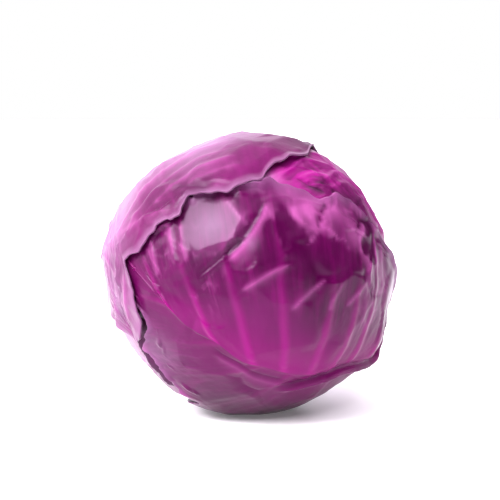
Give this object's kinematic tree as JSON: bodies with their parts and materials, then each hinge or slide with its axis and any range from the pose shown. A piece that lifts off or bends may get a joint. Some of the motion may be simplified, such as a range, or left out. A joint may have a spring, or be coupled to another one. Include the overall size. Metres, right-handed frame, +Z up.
{
  "type": "red cabbage head",
  "caption": "Round red cabbage head lying on its side, with large wrapper leaves lapped over a dense inner ball and a cut stem.",
  "frame": {"origin": "middle of the small flat spot that the head rests on, below its weight", "axes": "+Z up; -Y is the front, towards the camera of the picture; +X is the long way across, and the cut stem points to the right, a little back and down"},
  "size_m": [0.1494, 0.1446, 0.143],
  "materials": {
    "inner_head": "satin",
    "stem_stump": "matte",
    "back_leaf": "satin",
    "crown_leaf": "satin",
    "front_leaf": "satin",
    "top_leaf": "satin"
  },
  "bodies": {
    "root": {"inner_head": "inner_head", "stem_stump": "stem_stump", "back_leaf": "back_leaf", "crown_leaf": "crown_leaf", "front_leaf": "front_leaf", "top_leaf": "top_leaf"}
  },
  "joints": []
}
